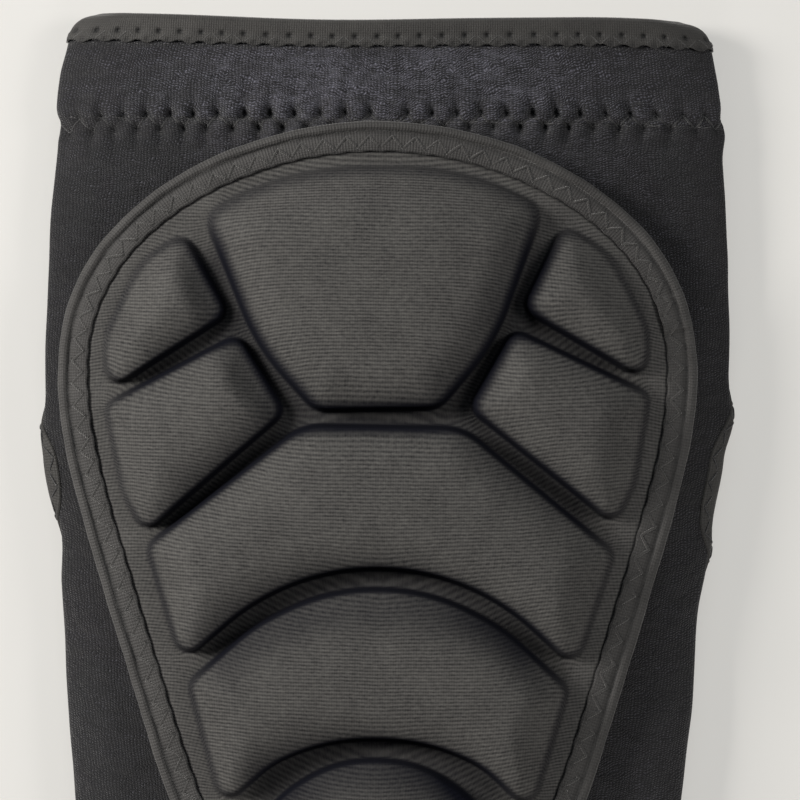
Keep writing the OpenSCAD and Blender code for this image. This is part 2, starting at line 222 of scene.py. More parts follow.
def grid_faces(rows, cols, wrap_rows=False, wrap_cols=False, start=0):
    """Quads over a grid of points stored row by row."""
    r = np.arange(rows if wrap_rows else rows - 1)
    c = np.arange(cols if wrap_cols else cols - 1)
    r, c = np.meshgrid(r, c, indexing="ij")
    r1, c1 = (r + 1) % rows, (c + 1) % cols
    quads = np.stack([r * cols + c, r * cols + c1, r1 * cols + c1, r1 * cols + c], -1)
    return quads.reshape(-1, 4) + start


def end_faces(rows, cols):
    """The two flat ends of a closed tube of points."""
    return [range(cols)[::-1], range((rows - 1) * cols, rows * cols)]


def skirt(a, b, n):
    """Faces between the edges from a to b of one skin and the same edges of the other, n points on."""
    return np.stack([a, b, b + n, a + n], -1)


def section_grids(section, count):
    """The two coordinates of a closed section, each repeated in count rows."""
    return np.tile(section.T[:, None], (1, count, 1))


def shell(name, outer, inner, cloth, wrap_cols=False, pits_and_painted_shade=None):
    """A closed sheet from two grids of points; the first faces out."""
    rows, cols = outer.shape[:2]
    n = rows * cols
    faces = [grid_faces(rows, cols, wrap_cols=wrap_cols)]
    faces.append(grid_faces(rows, cols, wrap_cols=wrap_cols, start=n)[:, ::-1])
    grid = np.arange(n).reshape(rows, cols)
    if wrap_cols:
        faces.append(skirt(np.roll(grid[0], -1), grid[0], n))
        faces.append(skirt(grid[-1], np.roll(grid[-1], -1), n))
    else:
        border = np.concatenate([grid[0, :-1], grid[:-1, -1], grid[-1, :0:-1], grid[:0:-1, 0]])
        faces.append(skirt(np.roll(border, -1), border, n))
    points = np.concatenate([outer, inner])
    dark = None if pits_and_painted_shade is None else np.concatenate([pits_and_painted_shade.ravel(), 0 * pits_and_painted_shade.ravel()])
    return make(name, points, np.concatenate(faces), np.concatenate([cloth] * 2), dark)


def length_along(path):
    """Length along a path at each of its points."""
    return np.concatenate([[0], np.cumsum(np.linalg.norm(np.diff(path, axis=0), axis=1))])


def unit(vectors):
    """The same vectors with length 1."""
    return vectors / np.maximum(np.linalg.norm(vectors, axis=1), 1e-6)[:, None]


def ahead_on(loop, step=1):
    """Vector along a closed path at each of its points, from step points back to step points on."""
    return np.roll(loop, -step, 0) - np.roll(loop, step, 0)


def to_left(ahead):
    """Vectors turned a quarter turn anticlockwise."""
    return np.stack([-ahead[:, 1], ahead[:, 0]], -1)


def there_and_back(length):
    """Length along a loop, running back again from half way round, so that it has no jump."""
    return np.minimum(length, length[-1] + length[1] - length)


def tube(name, path, radius, closed=False, sides=6, flat=0.75):
    """A thread along a path of points, in millimetres."""
    path = np.asarray(path, float)
    n = len(path)
    ahead = ahead_on(path)
    if not closed:
        ahead[0] = path[1] - path[0]
        ahead[-1] = path[-1] - path[-2]
    ahead = unit(ahead)
    across = unit(np.cross(ahead, (0, 0, 1)))
    lift = np.cross(across, ahead)
    angle = np.arange(sides) * TAU / sides
    ring = path[:, None] + radius * (np.cos(angle)[None, :, None] * across[:, None]
                                     + flat * np.sin(angle)[None, :, None] * lift[:, None])
    faces = list(grid_faces(n, sides, wrap_rows=closed, wrap_cols=True))
    if not closed:
        faces += end_faces(n, sides)
    length = length_along(path)
    if closed:
        length = there_and_back(length)
    cloth = np.stack([np.repeat(length, sides), np.tile(angle, n), np.zeros(n * sides)], -1)
    return make(name, ring, faces, cloth)


def corner_outline(corners, step=1.2):
    """Closed outline from corners (x, y, radius), anticlockwise. step is that of its arcs."""
    points = []
    n = len(corners)
    for i in range(n):
        here = np.array(corners[i][:2], float)
        u = here - np.array(corners[i - 1][:2], float)
        v = np.array(corners[(i + 1) % n][:2], float) - here
        r = corners[i][2]
        turn = math.atan2(u[0] * v[1] - u[1] * v[0], u @ v)
        side = math.copysign(1, turn)
        start = math.atan2(u[1], u[0])
        middle = start + turn / 2
        centre = here + side * r / math.cos(turn / 2) * np.array([-math.sin(middle), math.cos(middle)])
        steps = max(3, int(abs(turn) * r / step) + 1)
        for k in range(steps + 1):
            a = start + turn * k / steps
            points.append(centre + side * r * np.array([math.sin(a), -math.cos(a)]))
    return np.array(points)


def inside_distance(outline, p):
    """Distance of the points p from a closed outline, positive inside."""
    a = outline
    b = np.roll(outline, -1, 0)
    best = np.full(len(p), 1e9)
    inside = np.zeros(len(p), bool)
    for i in range(len(a)):
        e = b[i] - a[i]
        w = p - a[i]
        t = np.clip((w @ e) / (e @ e + 1e-12), 0, 1)
        best = np.minimum(best, ((w - t[:, None] * e) ** 2).sum(1))
        crosses = (a[i][1] > p[:, 1]) != (b[i][1] > p[:, 1])
        if crosses.any():
            xc = a[i][0] + (p[:, 1] - a[i][1]) / (e[1] if e[1] else 1e-9) * e[0]
            inside ^= crosses & (p[:, 0] < xc)
    d = np.sqrt(best)
    return np.where(inside, d, -d)


def mirrored(corners):
    """The same corners on the left side, still anticlockwise."""
    return [(-x, y, r) for x, y, r in reversed(corners)]


def both_sides(corners):
    """The corners of a whole outline from those of its right half."""
    return corners + mirrored(corners)


# ------ foam blocks: outlines and heights
SHIELD = both_sides([(12.5, 30.8, 6), (24, 44, 45), (34.3, 71, 4.5), (17, 79.8, 55)])
UPPER_SIDE = [(28.4, 50.6, 3.5), (54.2, 35, 3.5), (55, 46, 14), (47.3, 61.5, 14), (37.6, 68, 3.5)]
LOWER_SIDE = [(17.6, 31, 3.5), (47.1, 6.6, 3.5), (51.6, 15.5, 12), (55, 33.4, 3.5), (27, 47.4, 3.5)]
LARGE_ARCH = both_sides([(10, -0.8, 45), (25, -7.7, 45), (39.5, -20.4, 3.5), (47.2, 3.5, 3.5),
                         (16, 28.4, 12)])
SMALL_ARCH = both_sides([(9, -34.6, 40), (20.5, -39.5, 20), (31, -49.3, 3.5), (38.4, -23.6, 3.5),
                         (24.5, -11.2, 40), (9.5, -3.9, 40)])
TIP = both_sides([(8, -77.5, 24), (18.2, -71, 16), (27, -54.5, 4), (18.5, -44.5, 25), (8, -37.8, 25)])
UPPER_BLOCKS = {  # outline and height over the flat part of the cover
    "shield_block": (SHIELD, 8.9),
    "left_upper_side_block": (mirrored(UPPER_SIDE), 7.6),
    "right_upper_side_block": (UPPER_SIDE, 7.6),
    "left_lower_side_block": (mirrored(LOWER_SIDE), 8.2),
    "right_lower_side_block": (LOWER_SIDE, 8.2),
}
LOWER_BLOCKS = {
    "large_arch_block": (LARGE_ARCH, 8.7),
    "small_arch_block": (SMALL_ARCH, 8.7),
    "tip_block": (TIP, 8.5),
}
BLOCKS = {name: (leaned(c, BLOCK_LEAN), h) for name, (c, h) in UPPER_BLOCKS.items()}
BLOCKS.update(LOWER_BLOCKS)
OUTLINES = {name: corner_outline(c) for name, (c, h) in BLOCKS.items()}

WALL = 0.9  # width of a block's steep side
WALL_SHARE = 0.4  # share of a block's height that its steep side reaches
EDGE_SWELL = (0.48, 9.0)  # share of the height that swells over the side, and how far in
MIDDLE_SWELL = (0.12, 18.0)  # the same for the slower swelling of the middle
SIDE_DIP = {"left": 1.0, "right": 0.25}  # how much the side blocks dip towards the shield
DIP_REACH = (10.0, 8.0)  # where that dip starts, out from the shield, and over what width it grows
WALL_SHADE = 1.3  # how far in from its steep side a block is shaded
DIP_SHADE = 2.0  # how much further where it dips
SHIELD_SHADE = 2.6  # how far in on the shield
RIM_SLOPE = (1.2, 13.0)  # where the soft fall to the pad's rim ends, and its width
LOWEST = 0.1  # share of the height left at the end of a fall or dip


def swell(distance):
    """Share of a block's height over its steep side at this distance inside its outline."""
    edge = 1 - (1 - np.clip(distance / EDGE_SWELL[1], 0, 1)) ** 2
    return EDGE_SWELL[0] * edge + MIDDLE_SWELL[0] * ease(distance / MIDDLE_SWELL[1])


def block_fields(xy, rim):
    """At each place: how far up a block's side, swelling, the block's height, and shade.

    The blocks fall off softly towards the pad's rim, and the side blocks dip towards the shield.
    rim is each place's distance from the rim.
    """
    side, top, full, shade = np.zeros((4, len(xy)))
    from_shield = -inside_distance(OUTLINES["shield_block"], xy)
    margin = 2.0  # a block is worked out to this far outside its outline
    for name, (corners, height) in BLOCKS.items():
        outline = OUTLINES[name]
        near = ((xy > outline.min(0) - margin) & (xy < outline.max(0) + margin)).all(1)
        d = inside_distance(outline, xy[near])
        side[near] = np.maximum(side[near], ease(d / WALL))
        by_shield = ease((DIP_REACH[0] - from_shield[near]) / DIP_REACH[1])
        dip = 1 - by_shield * SIDE_DIP.get(name.split("_")[0], 0)
        swelling = height * np.where(d > 0, swell(d) * at_least(LOWEST, dip), 0)
        top[near] = np.maximum(top[near], swelling)
        full[near] = np.maximum(full[near], height * (d > -margin) * at_least(0.65, dip))
        soft = SHIELD_SHADE if name == "shield_block" else WALL_SHADE + DIP_SHADE * by_shield
        steep = ease((d + 0.5) / 0.6) * (1 - ease((d - 0.7) / soft))
        shade[near] = np.maximum(shade[near], steep)
    slope = 1 - (1 - np.clip((rim - RIM_SLOPE[0]) / RIM_SLOPE[1], 0, 1)) ** 2
    fall = at_least(LOWEST, slope)
    return side, top * fall, full * fall, shade * at_least(0.25, slope)


# ------ pad outline
def even_places(loop, count):
    """A loop with its first point again at the end, length along it, and count even places on it."""
    closed = np.vstack([loop, loop[:1]])
    length = length_along(closed)
    return closed, length, np.linspace(0, length[-1], count + 1)[:-1]


def egg_path(inset, count):
    """Evenly spaced outline of the pad moved in by inset, its direction inward, and its length."""
    angle = np.linspace(0, TAU, 1441)[:-1]
    p = np.stack([np.cos(angle) * egg_w(np.sin(angle)), PAD_LEN * np.sin(angle)], -1)
    n = to_left(unit(ahead_on(p)))
    closed, s, at = even_places(p + inset * n, count)
    out = np.stack([np.interp(at, s, closed[:, k]) for k in (0, 1)], -1)
    inward = unit(np.stack([np.interp(at, s, np.append(n[:, k], n[0, k])) for k in (0, 1)], -1))
    return leaned(out, PAD_LEAN, LEAN_Y), leaned(inward, PAD_LEAN), s[-1]


# ------ sleeve body and cuffs
SEAM_PITCH = 5.0  # one zigzag of the cuff seam
SEAM_RISE = 1.4  # half height of the cuff seam's zigzag


def seam_shift(a):
    """How far the cuff seam lies above its nominal place: lower at the left, higher at the right."""
    return 0.85 * np.sin(math.pi * a / RING_A) - 1.0 * bump(a + SIDE_A + 3, 9)


def seam_phase(a):
    """Place along a cuff seam's zigzag in half stitches, a little uneven."""
    return 2 * a / SEAM_PITCH + 0.3 * wobble(a / 11, 2.0)


def seam_stitches(a, y, seam):
    """Distance above the seam, strength of the stitch, nearness to its holes, folds, bulges and thread."""
    v = math.copysign(1, seam) * (y - seam) - seam_shift(a)
    p = seam_phase(a)
    half = SEAM_PITCH / 2
    up = (p - 2 * np.round(p / 2)) * half
    low = (p - 2 * np.round((p - 1) / 2) - 1) * half
    pits_and_painted_shade = bump(up, 0.95) * bump(v - SEAM_RISE, 1.25) + bump(low, 0.95) * bump(v + SEAM_RISE, 1.25)
    rays = bump(up, 0.8) * bump(v - SEAM_RISE - 2.2, 2.4) + bump(low, 0.8) * bump(v + SEAM_RISE + 2.2, 2.4)
    bulge = bump(low, 1.3) * bump(v - SEAM_RISE - 0.9, 1.8) + bump(up, 1.3) * bump(v + SEAM_RISE + 0.9, 1.8)
    thread = bump(v - SEAM_RISE * (1 - 2 * np.abs(up) / half), 0.55) * (np.abs(v) < SEAM_RISE + 1)
    strength = 0.85 + 0.3 * wobble(a / 7, 5.0)
    return v, strength, pits_and_painted_shade, rays, bulge, thread


def seam_depth(a, y, seam):
    """How the cuff seam's stitches gather the neoprene: dimples at the stitch holes, folds between them."""
    v, strength, pits_and_painted_shade, rays, bulge, thread = seam_stitches(a, y, seam)
    strength = strength * (1 - 0.65 * bump(np.abs(a) - SIDE_A - 2, 7))
    return strength * (1.3 * pits_and_painted_shade + 0.4 * rays - 0.45 * bulge + 0.5 * thread) + 0.35 * bump(v, 2.4)


def seam_shade_and_thread(a, y, seam):
    """How dark a cuff seam is: painted shade in its stitch holes and in the folds that run from them, and
    the line of its dark thread.
    """
    v, strength, pits_and_painted_shade, rays, bulge, thread = seam_stitches(a, y, seam)
    return strength * np.clip(1.3 * pits_and_painted_shade + 0.65 * thread + 0.15 * rays, 0, 1)


def sleeve_relief(a, y):
    """Depth of the sleeve's face: gathered seams and the slow unevenness of cloth."""
    slow = 0.3 * wobble(a / 17 + 0.6 * wobble(y / 23, 1.0), 0.4) * wobble(y / 19, 2.2)
    slow = slow + 0.14 * wobble(a / 6.3 + y / 9.1, 1.9)
    on_front = ease((np.abs(a) - SIDE_X) / SIDE_R)
    return seam_depth(a, y, SEAM_Y) + seam_depth(a, y, -SEAM_Y) + slow * on_front


def ring_cloth(a, y):
    """Place on the sleeve's cloth: round it, the same way on both sides, along it, and which side."""
    return np.stack([np.abs(a), y, 30 * np.sin(math.pi * a / RING_A)], -1)


def on_table(points, least=0.0):
    """Nothing of the back reaches below the table."""
    points[..., 2] = np.maximum(points[..., 2], least)
    return points


def rows_between(y0, y1, fine, coarse, dense_at):
    """Places from y0 to y1, close together near each y in dense_at."""
    y = [y0]
    while y[-1] < y1:
        near = min(abs(y[-1] - d) for d in dense_at)
        y.append(y[-1] + (fine if near < 7 else coarse))
    y = np.array(y)
    return y0 + (y - y0) * (y1 - y0) / (y[-1] - y0)


OPEN_A = SIDE_A - 0.5  # half width of the crease opening, round the sleeve
OPEN_N = (2.1, 3.1)  # squareness of its left and right ends
CREASE_NARROW = 0.45  # how much narrower its tape is round the sides


def opening_n(a):
    """Squareness of the end of the crease opening that is on the same side as a."""
    return np.where(a < 0, OPEN_N[0], OPEN_N[1])


def opening_half(a):
    """Half height of the crease opening at a."""
    n = opening_n(a)
    return OPENING_B * np.clip(1 - np.abs(a / OPEN_A) ** n, 0, 1) ** (1 / n)


def ring_columns():
    """Places round the sleeve, closed, starting at the left end of the crease opening."""
    back = OPEN_A * np.sin(np.linspace(-math.pi / 2, math.pi / 2, 170))
    count = int(2 * (RING_A - OPEN_A) / 0.55)
    front = np.linspace(OPEN_A, 2 * RING_A - OPEN_A, count + 1)[1:-1]
    return back, np.where(front > RING_A, front - 2 * RING_A, front)


INNER_Z = NEOPRENE - 0.4  # the lining side of the back stays above this
ROW_STEPS = (0.45, 1.3)  # steps between the rows of the sleeve, near its seams and elsewhere


def sleeve_body():
    """The sleeve between its cuff seams: a patch below the elbow line and one above, round the opening."""
    back, front = ring_columns()
    columns = np.concatenate([back, front])
    n = len(columns)
    low_y = rows_between(-SEAM_Y, ELBOW_Y, *ROW_STEPS, [-SEAM_Y])
    high_y = SEAM_Y - rows_between(0, SEAM_Y - ELBOW_Y, *ROW_STEPS, [0])[::-1]
    half = opening_half(columns)
    half[len(back):] = 0
    half[0] = half[len(back) - 1] = 0

    def patch(y, edge_row, sign):
        """One patch, whose row at edge_row follows the edge of the opening."""
        t = (y - y[edge_row]) / (y[0 if edge_row else -1] - y[edge_row])
        yy = y[:, None] + sign * half[None, :] * (1 - t[:, None])
        aa = np.broadcast_to(columns, yy.shape)
        d = sleeve_relief(aa, yy)
        return aa, yy, on_table(sleeve(aa, yy, d)), on_table(sleeve(aa, yy, NEOPRENE), INNER_Z)

    la, ly, lo, li = patch(low_y, len(low_y) - 1, -1)
    ha, hy, ho, hi = patch(high_y, 0, 1)
    nl, nh = len(low_y), len(high_y)
    points = np.concatenate([lo, ho, li, hi]).reshape(-1, 3)
    cloth = np.concatenate([ring_cloth(la, ly), ring_cloth(ha, hy)] * 2).reshape(-1, 3)
    # painted shade in the seams' stitch holes and folds, and the line of their thread
    dark = np.concatenate([seam_shade_and_thread(la, ly, -SEAM_Y), seam_shade_and_thread(ha, hy, SEAM_Y)])
    dark = np.concatenate([dark, 0 * dark]).ravel()
    half_points = (nl + nh) * n
    # the two patches share their edge over the front and at the ends of the opening
    index = np.arange(2 * half_points)
    shared = np.append(0, np.arange(len(back) - 1, n))
    for skin in (0, half_points):
        index[skin + nl * n + shared] = skin + (nl - 1) * n + shared
    outer = index[np.concatenate([grid_faces(nl, n, wrap_cols=True),
                                  grid_faces(nh, n, wrap_cols=True, start=nl * n)])]
    inner = index[outer + half_points][:, ::-1]

    def rim(row, flip, count):
        """Faces between the outer and the inner skin, along the first count columns of a row."""
        a = row * n + np.arange(count)
        b = row * n + (np.arange(count) + 1) % n
        return index[skirt(a, b, half_points) if flip else skirt(b, a, half_points)]

    hole = len(back) - 1
    sides = [rim(0, False, n), rim(nl + nh - 1, True, n), rim(nl - 1, True, hole), rim(nl, False, hole)]
    faces = np.concatenate([outer, inner] + sides)
    used = np.unique(faces)
    renumber = np.zeros(len(points), int)
    renumber[used] = np.arange(len(used))
    return make("sleeve_body", points[used], renumber[faces], cloth[used], dark[used])


HEM_CORNER = (6.5, 5.5)  # rounding of the hem's corners: across, along
HEM_TAPE = 5.6  # width of the hem tape that shows
HEM_OUT = -0.42  # depth of its outer face: it stands proud of the cuff
HEM_HOLES = 3.5  # row of stitch holes, in from the hem edge
UNDER_TAPE = 0.85  # how much thinner the cuff is under its tape


def tuck(points, e):
    """Rounds the corners of the hem and bows it a little. e is the distance from the hem edge."""
    across, along = HEM_CORNER
    pull = across * (1 - np.sqrt(1 - np.clip((along - e) / along, 0, 0.97) ** 2))
    side = np.sign(points[..., 0])
    x = np.abs(points[..., 0])
    w = side_reach(points[..., 1], side)
    bow = 1.2 * bump(points[..., 0] + 12, 28) - 0.4 * bump(points[..., 0] - 45, 14)
    points[..., 1] -= np.sign(points[..., 1]) * bow * ease(1 - e / 20)
    points[..., 0] -= side * pull * ease((x - w + 2.2 * across) / (2.2 * across))
    return points


def cuff(sign, name):
    """Cuff band between a cuff seam and its hem, thinner under the hem tape."""
    y = rows_between(0, HALF_LEN - SEAM_Y - 1.2, 0.4, 0.8, [0]) + SEAM_Y
    y = y if sign > 0 else -y[::-1]
    a = np.linspace(-RING_A, RING_A, int(2 * RING_A / 0.5))[:-1]
    aa, yy = np.meshgrid(a, y)
    e = HALF_LEN - np.abs(yy)
    soft = 0.2 * wobble(aa / 5, 0.3) * wobble(yy / 6, 1.1) + 0.12 * wobble(aa / 2.4 + yy / 7, 0.9)
    under_tape = ease((HEM_TAPE + 0.4 - e) / 0.7)
    depth = seam_depth(aa, yy, sign * SEAM_Y) + soft * (1 - under_tape) + UNDER_TAPE * under_tape
    outer = on_table(tuck(sleeve(aa, yy, depth), e))
    inner = on_table(tuck(sleeve(aa, yy, NEOPRENE), e), INNER_Z)
    # painted shade in the seam's stitch holes and folds, the line of its thread, and a painted shadow along
    # the edge of the proud hem tape
    dark = seam_shade_and_thread(aa, yy, sign * SEAM_Y) + 0.6 * bump(e - HEM_TAPE - 0.3, 0.8)
    return shell(name, outer, inner, ring_cloth(aa, yy), True, dark)


def hem_section():
    """Fold of the hem tape: (distance from the hem edge, depth), once round its closed section."""
    outer = [(HEM_TAPE * (1 - t), HEM_OUT) for t in np.linspace(0, 0.72, 17)]
    turn = [(1.25 - 1.35 * math.sin(t), 1.5 - 1.93 * math.cos(t)) for t in np.linspace(0.12, math.pi, 13)]
    inner = [(HEM_TAPE * t, 3.45) for t in np.linspace(0.24, 0.95, 5)]
    back = [(HEM_TAPE * 0.95, 2.85), (1.6, 2.8), (0.9, 1.5), (1.6, 0.3), (HEM_TAPE - 0.25, 0.25)]
    return np.array(outer + turn + inner + back)


HEM_STITCHES = round(RING_A / 4.65)  # stitches in half of the way round
HEM_PITCH = RING_A / HEM_STITCHES


def hem_phase(a):
    """Place along the hem's zigzag, in whole stitches."""
    return a / RING_A * HEM_STITCHES + 0.12 * wobble(a / 13, 0.8)


def hem_tape(sign, name):
    """Tape folded over the hem, dimpled by its stitches, with a wavy edge."""
    section = hem_section()
    m = len(section)
    a = np.linspace(-RING_A, RING_A, int(2 * RING_A / 0.3))[:-1]
    e, d = section_grids(section, len(a))
    aa = np.broadcast_to(a[:, None], (len(a), m))
    phase = hem_phase(aa)
    near_edge = ease((e - 3.2) / 2.2)
    e += near_edge * (0.3 * np.cos(TAU * phase) + 0.14 * wobble(aa / 2.3, 1.1)) * (d < 1)
    stitched = d < 0.5
    hole_low = from_whole(phase + 0.5) * HEM_PITCH
    hole_in = from_whole(phase) * HEM_PITCH
    holes = bump(hole_low, 0.5) * bump(e - HEM_HOLES, 0.45)
    d += stitched * (0.6 * holes + 0.3 * bump(hole_in, 0.6) * bump(e - 5.3, 0.6)
                     + 0.15 * bump(e - HEM_HOLES, 0.9)
                     - 0.2 * bump(hole_low - HEM_PITCH / 2, 1.3) * bump(e - 4.5, 1.3))
    d += 0.08 * wobble(aa / 4, 3.0) * (d < 1)
    # painted shade in the stitch holes, and a painted shadow along the tape's wavy edge, in dashes by the
    # stitches nearest it
    dark = 2 * holes + 0.5 * bump(e - HEM_TAPE, 0.5) + 0.4 * bump(hole_in, 0.8) * bump(e - 5.0, 0.8)
    dark = np.minimum(stitched * dark, 1)
    points = on_table(tuck(sleeve(aa, sign * (HALF_LEN - e), d), e))
    faces = grid_faces(len(a), m, wrap_rows=True, wrap_cols=True)
    if sign < 0:
        faces = faces[:, ::-1]
    return make(name, points, faces, ring_cloth(aa, e), dark)


def stitch_sag(turn, depth):
    """How deep a zigzag thread dips at the ends of its legs."""
    return depth * bump(np.minimum(turn, 1 - turn), 0.12)


def thread_places(count, per_leg):
    """Places round the sleeve along a closed zigzag of count legs."""
    return -RING_A + np.arange(count * per_leg) / per_leg * RING_A * 2 / count


def hem_thread(sign, name):
    """Zigzag thread through the hem tape."""
    a = thread_places(HEM_STITCHES * 4, 6)
    turn = zigzag(2 * hem_phase(a))
    e = HEM_HOLES + 1.9 * (1 - turn)
    path = tuck(sleeve(a, sign * (HALF_LEN - e), HEM_OUT + stitch_sag(turn, 0.3)), e)
    return tube(name, on_table(path, 0.1), 0.14, closed=True)


def seam_thread(sign, name):
    """Zigzag thread of a cuff seam, drawn into the neoprene."""
    a = thread_places(int(2 * RING_A / SEAM_PITCH) * 2, 8)
    y = sign * (SEAM_Y + seam_shift(a) + SEAM_RISE * (2 * zigzag(seam_phase(a)) - 1))
    d = seam_depth(a, y, sign * SEAM_Y)
    return tube(name, on_table(sleeve(a, y, d - 0.05), 0.1), 0.2, closed=True)


# ------ crease opening
CREASE_TAPE = 6.5  # width of its tape on the back


def opening_path(count):
    """Evenly spaced edge of the crease opening, its direction away from the hole, and its length."""
    t = np.linspace(0, TAU, 2001)[:-1]
    c, s = np.cos(t), np.sin(t)
    n = opening_n(c)
    p = np.stack([OPEN_A * np.sign(c) * np.abs(c) ** (2 / n),
                  ELBOW_Y + OPENING_B * np.sign(s) * np.abs(s) ** (2 / n)], -1)
    closed, length, at = even_places(p, count)
    q = np.stack([np.interp(at, length, closed[:, k]) for k in (0, 1)], -1)
    return q, -to_left(unit(ahead_on(q, 3))), length[-1]


def round_side(q):
    """0 where the edge of the opening lies on the flat back, 1 where it runs round the folded side."""
    return ease((np.abs(q[:, 0]) - SIDE_X) / SIDE_R)


def side_stand(side, e):
    """How far the tape of the crease opening stands out round the sides, e away from the edge."""
    return 0.5 * side * bump(e - 1.2, 2.6)


def crease_tape():
    """Tape folded over the edge of the crease opening."""
    q, away, total = opening_path(700)
    outer = [(CREASE_TAPE * (1 - t), -0.4) for t in np.linspace(0, 0.8, 9)]
    turn = [(0.9 - 1.5 * math.sin(t), 1.5 - 1.9 * math.cos(t)) for t in np.linspace(0, math.pi, 10)]
    inner = [(CREASE_TAPE * t, 3.4) for t in np.linspace(0.25, 0.95, 4)]
    back = [(CREASE_TAPE * 0.95, 2.85), (1.4, 2.8), (0.7, 1.5), (1.4, 0.3), (CREASE_TAPE - 0.2, 0.25)]
    section = np.array(outer + turn + inner + back)
    m = len(section)
    e, d = section_grids(section, len(q))
    s = np.broadcast_to((np.arange(len(q)) * total / len(q))[:, None], (len(q), m))
    side = round_side(q)[:, None]
    e = e * (1 - CREASE_NARROW * side * (e > 0))
    d -= (d < 1.5) * side_stand(side, e)
    d += (d < 0.5) * 0.2 * bump(e - 3.2, 1.0)
    place = q[:, None] + away[:, None] * e[..., None]
    points = on_table(sleeve(place[..., 0], place[..., 1], d))
    faces = grid_faces(len(q), m, wrap_rows=True, wrap_cols=True)[:, ::-1]
    s = np.minimum(s, total - s)
    return make("crease_binding", points, faces, np.stack([s, e, q[:, :1] + 0 * e], -1))


def crease_thread():
    """Zigzag thread through the tape of the crease opening."""
    q, away, total = opening_path(1400)
    turn = zigzag(np.arange(len(q)) / len(q) * round(total / PITCH) * 2)
    side = round_side(q)
    e = (3.4 + 2.3 * turn) * (1 - CREASE_NARROW * side)
    a, y = (q + away * e[:, None]).T
    d = -0.36 - side_stand(side, e) + stitch_sag(turn, 0.3)
    return tube("crease_thread", on_table(sleeve(a, y, d), 0.1), 0.17, closed=True)


def back_seam_thread(sign, name):
    """Flat zigzag over the back seam, from the crease opening to a cuff seam."""
    y0 = ELBOW_Y + sign * (OPENING_B + CREASE_TAPE + 0.6)
    y1 = sign * (SEAM_Y - 3)
    count = int(abs(y1 - y0) / PITCH * 2)
    t = np.arange(count * 6 + 1) / 6
    y = y0 + (y1 - y0) * t / count
    a = 1.5 * (2 * zigzag(t) - 1)
    return tube(name, on_table(sleeve(a, y, -0.02), 0.12), 0.17)


# ------ pad
def egg_grid(inset, rows, cols):
    """A grid that fills the pad's outline, moved in by inset."""
    v, u = np.meshgrid(np.linspace(-1, 1, rows), np.linspace(-1, 1, cols), indexing="ij")
    dx = u * np.sqrt(1 - v ** 2 / 2)
    dy = v * np.sqrt(1 - u ** 2 / 2)
    angle = np.arctan2(dy, dx)
    radius = np.hypot(dx, dy)
    outline, inward, total = egg_path(inset, 1440)
    turn = np.unwrap(np.arctan2(outline[:, 1], outline[:, 0]))
    order = np.argsort(turn % TAU)
    at, ring = (turn % TAU)[order], outline[order]
    # the disc's angle is stretched to the angle of the egg at the same sine
    target = np.arctan2(np.sin(angle) * PAD_LEN, np.cos(angle) * egg_w(np.sin(angle)))
    target = (target + math.radians(PAD_LEAN)) % TAU
    reach = np.interp(target, at, np.hypot(ring[:, 0], ring[:, 1]), period=TAU)
    return np.stack([radius * reach * np.cos(target), radius * reach * np.sin(target)], -1)


def smoothed(z, times):
    """A grid of values, averaged this many times with the neighbours of each."""
    for _ in range(times):
        inner = z[1:-1, 1:-1]
        z = z.copy()
        z[1:-1, 1:-1] = 0.5 * inner + 0.125 * (z[:-2, 1:-1] + z[2:, 1:-1] + z[1:-1, :-2] + z[1:-1, 2:])
    return z


def cloth_map(points, times):
    """Where each point lies on the flat cloth before it was stretched over the blocks."""
    f = points[..., :2].copy()
    wide = 1 / (((points[:, 1:] - points[:, :-1]) ** 2).sum(-1) + 1e-4)
    tall = 1 / (((points[1:] - points[:-1]) ** 2).sum(-1) + 1e-4)
    left, right = wide[1:-1, :-1, None], wide[1:-1, 1:, None]
    below, above = tall[:-1, 1:-1, None], tall[1:, 1:-1, None]
    total = left + right + below + above
    for _ in range(times):
        across = left * f[1:-1, :-2] + right * f[1:-1, 2:]
        f[1:-1, 1:-1] = (across + below * f[:-2, 1:-1] + above * f[2:, 1:-1]) / total
    return f


COVER_GRID = (500, 360)
SHADE_LEFT = 9  # how far the shade of a groove is moved to its left, in columns of that grid
SHADE_DOWN = 16  # how far that on the lower blocks is moved down, in rows


def groove_shade(groove, y):
    """Soft shade on the blocks beside their grooves: wide to the left, and downwards on the lower blocks."""
    left = 0.7 * smoothed(np.roll(groove, -SHADE_LEFT, 1), 220)
    down = 0.9 * ease(-y / 12) * smoothed(np.roll(groove, -SHADE_DOWN, 0), 300)
    return left + 0.3 * smoothed(groove, 60) + down


